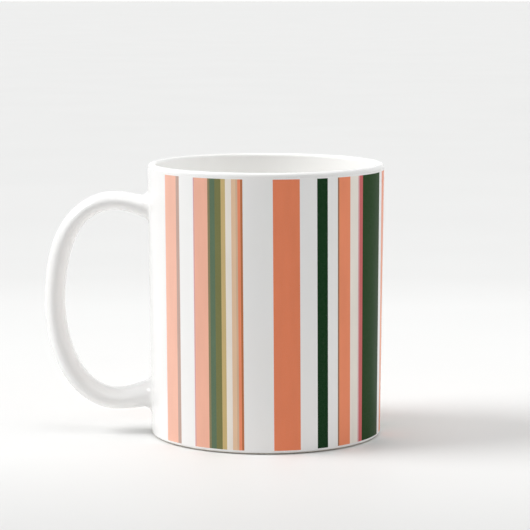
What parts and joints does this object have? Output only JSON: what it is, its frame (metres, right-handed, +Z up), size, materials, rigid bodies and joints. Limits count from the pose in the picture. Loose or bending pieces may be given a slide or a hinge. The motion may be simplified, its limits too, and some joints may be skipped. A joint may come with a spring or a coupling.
{
  "type": "ceramic mug",
  "caption": "Straight-sided glazed ceramic mug with a thin rounded lip, a D-shaped strap handle, a bare foot ring and a printed wrap of vertical stripes in coral, green and cream.",
  "frame": {"origin": "centre of the foot ring, on the cup's axis, in the plane that the mug stands on", "axes": "+Z up along the cup's axis; the handle is at -X; the print's front faces -Y"},
  "size_m": [0.1184, 0.0822, 0.095],
  "materials": {
    "biscuit": "matte",
    "slip": "matte",
    "white_glaze": "gloss",
    "print_coat": "gloss",
    "ink_peach": "gloss",
    "ink_taupe": "gloss",
    "ink_pink": "gloss",
    "ink_salmon": "gloss",
    "ink_olive_brown": "gloss",
    "ink_sage": "gloss",
    "ink_olive": "gloss",
    "ink_khaki": "gloss",
    "ink_cream": "gloss",
    "ink_sand": "gloss",
    "ink_tan": "gloss",
    "ink_coral": "gloss",
    "ink_rust": "gloss",
    "ink_terracotta": "gloss",
    "ink_dark_green": "gloss",
    "ink_brown": "gloss",
    "ink_rose": "gloss",
    "ink_forest_green": "gloss"
  },
  "bodies": {
    "root": {"base_glaze": "white_glaze", "cup_body": "biscuit", "handle": "biscuit", "handle_glaze": "white_glaze", "ink_brown": "ink_brown", "ink_coral": "ink_coral", "ink_cream": "ink_cream", "ink_dark_green": "ink_dark_green", "ink_forest_green": "ink_forest_green", "ink_khaki": "ink_khaki", "ink_olive": "ink_olive", "ink_olive_brown": "ink_olive_brown", "ink_peach": "ink_peach", "ink_pink": "ink_pink", "ink_rose": "ink_rose", "ink_rust": "ink_rust", "ink_sage": "ink_sage", "ink_salmon": "ink_salmon", "ink_sand": "ink_sand", "ink_tan": "ink_tan", "ink_taupe": "ink_taupe", "ink_terracotta": "ink_terracotta", "liner_glaze": "white_glaze", "lower_slip_joint": "slip", "print_coat": "print_coat", "upper_slip_joint": "slip", "wall_glaze": "white_glaze"}
  },
  "joints": []
}
